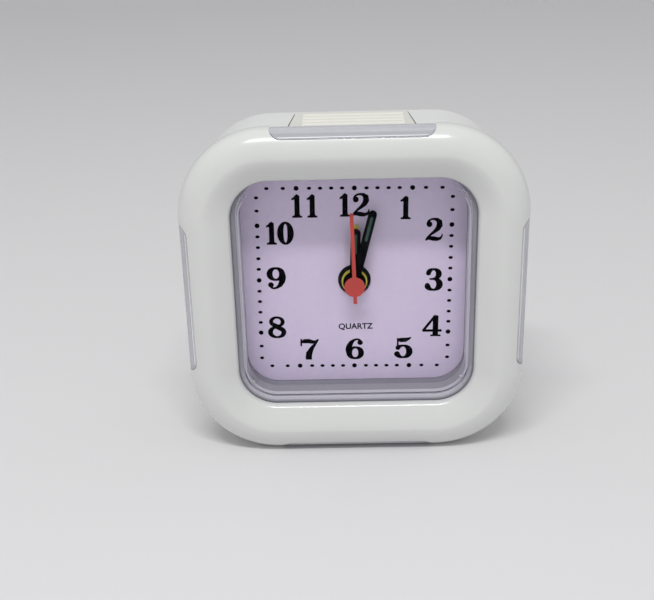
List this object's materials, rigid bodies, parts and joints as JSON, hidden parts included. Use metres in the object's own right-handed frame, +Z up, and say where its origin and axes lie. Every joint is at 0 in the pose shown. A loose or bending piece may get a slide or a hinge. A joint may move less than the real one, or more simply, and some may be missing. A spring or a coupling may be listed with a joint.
{
  "type": "alarm clock",
  "caption": "Small square desk alarm clock: domed ring, clear window, analogue dial with hands, geared movement, ribbed top button and rear knobs.",
  "frame": {"origin": "centre of the clock's footprint, on the surface it stands on", "axes": "+X to the right seen from the front, -Y out of the dial, +Z up"},
  "size_m": [0.0848, 0.0364, 0.0848],
  "materials": {
    "white_gloss": "polished",
    "white_case": "satin",
    "button_cream": "satin",
    "clear_window": "clear, polished",
    "dial_card": "matt print",
    "hand_black": "satin",
    "hand_red": "satin",
    "hand_yellow": "satin",
    "nylon": "moulded",
    "black_housing": "moulded",
    "brass": "turned",
    "magnet": "sintered",
    "steel": "plain",
    "copper_wire": "enamelled winding",
    "board": "printed board",
    "cell_wrap": "printed sleeve",
    "switch_black": "moulded"
  },
  "bodies": {
    "case": {"bezel": "white_gloss", "rear_case": "white_case", "crystal": "clear_window", "dial": "dial_card", "stator": "steel", "coil_bobbin": "nylon", "coil_winding": "copper_wire", "circuit_board": "board", "chip_cover": "black_housing", "quartz_can": "steel", "movement_front": "black_housing", "movement_rear": "black_housing", "movement_screw_1": "steel", "movement_screw_2": "steel", "battery_cell": "cell_wrap", "contact_plus": "steel", "contact_minus": "steel", "contact_minus_spring": "steel", "buzzer_disc": "brass", "buzzer_ring": "nylon", "snooze_contact": "steel", "case_screw_1": "steel", "case_screw_2": "steel", "case_screw_3": "steel", "case_screw_4": "steel"},
    "second": {"second_wheel": "nylon", "second_hand": "hand_red"},
    "third": {"third_wheel": "nylon"},
    "centre": {"centre_wheel": "nylon"},
    "fifth": {"fifth_wheel": "nylon"},
    "rotor": {"rotor": "nylon", "rotor_magnet": "magnet"},
    "time_setter": {"time_knob": "white_case", "time_shaft": "nylon"},
    "minute_train": {"minute_wheel": "nylon"},
    "minute": {"cannon_pinion": "brass", "minute_hand": "hand_black"},
    "hour": {"hour_wheel": "nylon", "hour_hand": "hand_black"},
    "alarm_setter": {"alarm_knob": "white_case", "alarm_shaft": "nylon"},
    "alarm_idle": {"alarm_idler": "nylon"},
    "alarm": {"alarm_wheel": "nylon", "alarm_hand": "hand_yellow"},
    "snooze": {"snooze_button": "button_cream"},
    "switch": {"alarm_switch": "switch_black"},
    "door": {"battery_door": "white_case"}
  },
  "joints": [
    {"name": "second_hand_turn", "type": "hinge", "parent": "case", "child": "second", "pos_m": [0, 0, 0.0424], "axis": [0, 1, 0], "continuous": true},
    {"name": "third_wheel_turn", "type": "hinge", "parent": "case", "child": "third", "pos_m": [-0.009, 0, 0.0424], "axis": [0, 1, 0], "continuous": true},
    {"name": "centre_wheel_turn", "type": "hinge", "parent": "case", "child": "centre", "pos_m": [0, 0, 0.0424], "axis": [0, 1, 0], "continuous": true},
    {"name": "fifth_wheel_turn", "type": "hinge", "parent": "case", "child": "fifth", "pos_m": [0.00455, 0, 0.05028], "axis": [0, 1, 0], "continuous": true},
    {"name": "rotor_turn", "type": "hinge", "parent": "case", "child": "rotor", "pos_m": [0.00841, 0, 0.05488], "axis": [0, 1, 0], "continuous": true},
    {"name": "time_knob_turn", "type": "hinge", "parent": "case", "child": "time_setter", "pos_m": [-0.0085, 0, 0.0314], "axis": [0, 1, 0], "continuous": true},
    {"name": "minute_wheel_turn", "type": "hinge", "parent": "case", "child": "minute_train", "pos_m": [-0.00276, 0, 0.03575], "axis": [0, 1, 0], "continuous": true},
    {"name": "minute_hand_turn", "type": "hinge", "parent": "case", "child": "minute", "pos_m": [0, 0, 0.0424], "axis": [0, 1, 0], "continuous": true},
    {"name": "hour_hand_turn", "type": "hinge", "parent": "case", "child": "hour", "pos_m": [0, 0, 0.0424], "axis": [0, 1, 0], "continuous": true},
    {"name": "alarm_knob_turn", "type": "hinge", "parent": "case", "child": "alarm_setter", "pos_m": [0.0085, 0, 0.0314], "axis": [0, 1, 0], "continuous": true},
    {"name": "alarm_idler_turn", "type": "hinge", "parent": "case", "child": "alarm_idle", "pos_m": [0.00396, 0, 0.03431], "axis": [0, 1, 0], "continuous": true},
    {"name": "alarm_hand_turn", "type": "hinge", "parent": "case", "child": "alarm", "pos_m": [0, 0, 0.0424], "axis": [0, 1, 0], "continuous": true},
    {"name": "snooze_press", "type": "slide", "parent": "case", "child": "snooze", "axis": [0, 0, -1], "range_m": [0, 0.0015], "stiffness_N_per_m": 600, "springref_m": -0.0004},
    {"name": "alarm_switch_slide", "type": "slide", "parent": "case", "child": "switch", "axis": [0, 0, -1], "range_m": [0, 0.004]},
    {"name": "battery_door_pull", "type": "slide", "parent": "case", "child": "door", "axis": [0, 1, 0], "range_m": [0, 0.02]}
  ],
  "couplings": [
    {"joint": "third_wheel_turn", "follows": "second_hand_turn", "ratio": -0.125},
    {"joint": "centre_wheel_turn", "follows": "second_hand_turn", "ratio": 0.016667},
    {"joint": "fifth_wheel_turn", "follows": "second_hand_turn", "ratio": -6},
    {"joint": "rotor_turn", "follows": "second_hand_turn", "ratio": 30},
    {"joint": "minute_wheel_turn", "follows": "time_knob_turn", "ratio": -0.33333},
    {"joint": "minute_hand_turn", "follows": "time_knob_turn", "ratio": 1},
    {"joint": "hour_hand_turn", "follows": "time_knob_turn", "ratio": 0.083333},
    {"joint": "alarm_idler_turn", "follows": "alarm_knob_turn", "ratio": -0.5},
    {"joint": "alarm_hand_turn", "follows": "alarm_knob_turn", "ratio": 0.33333}
  ]
}
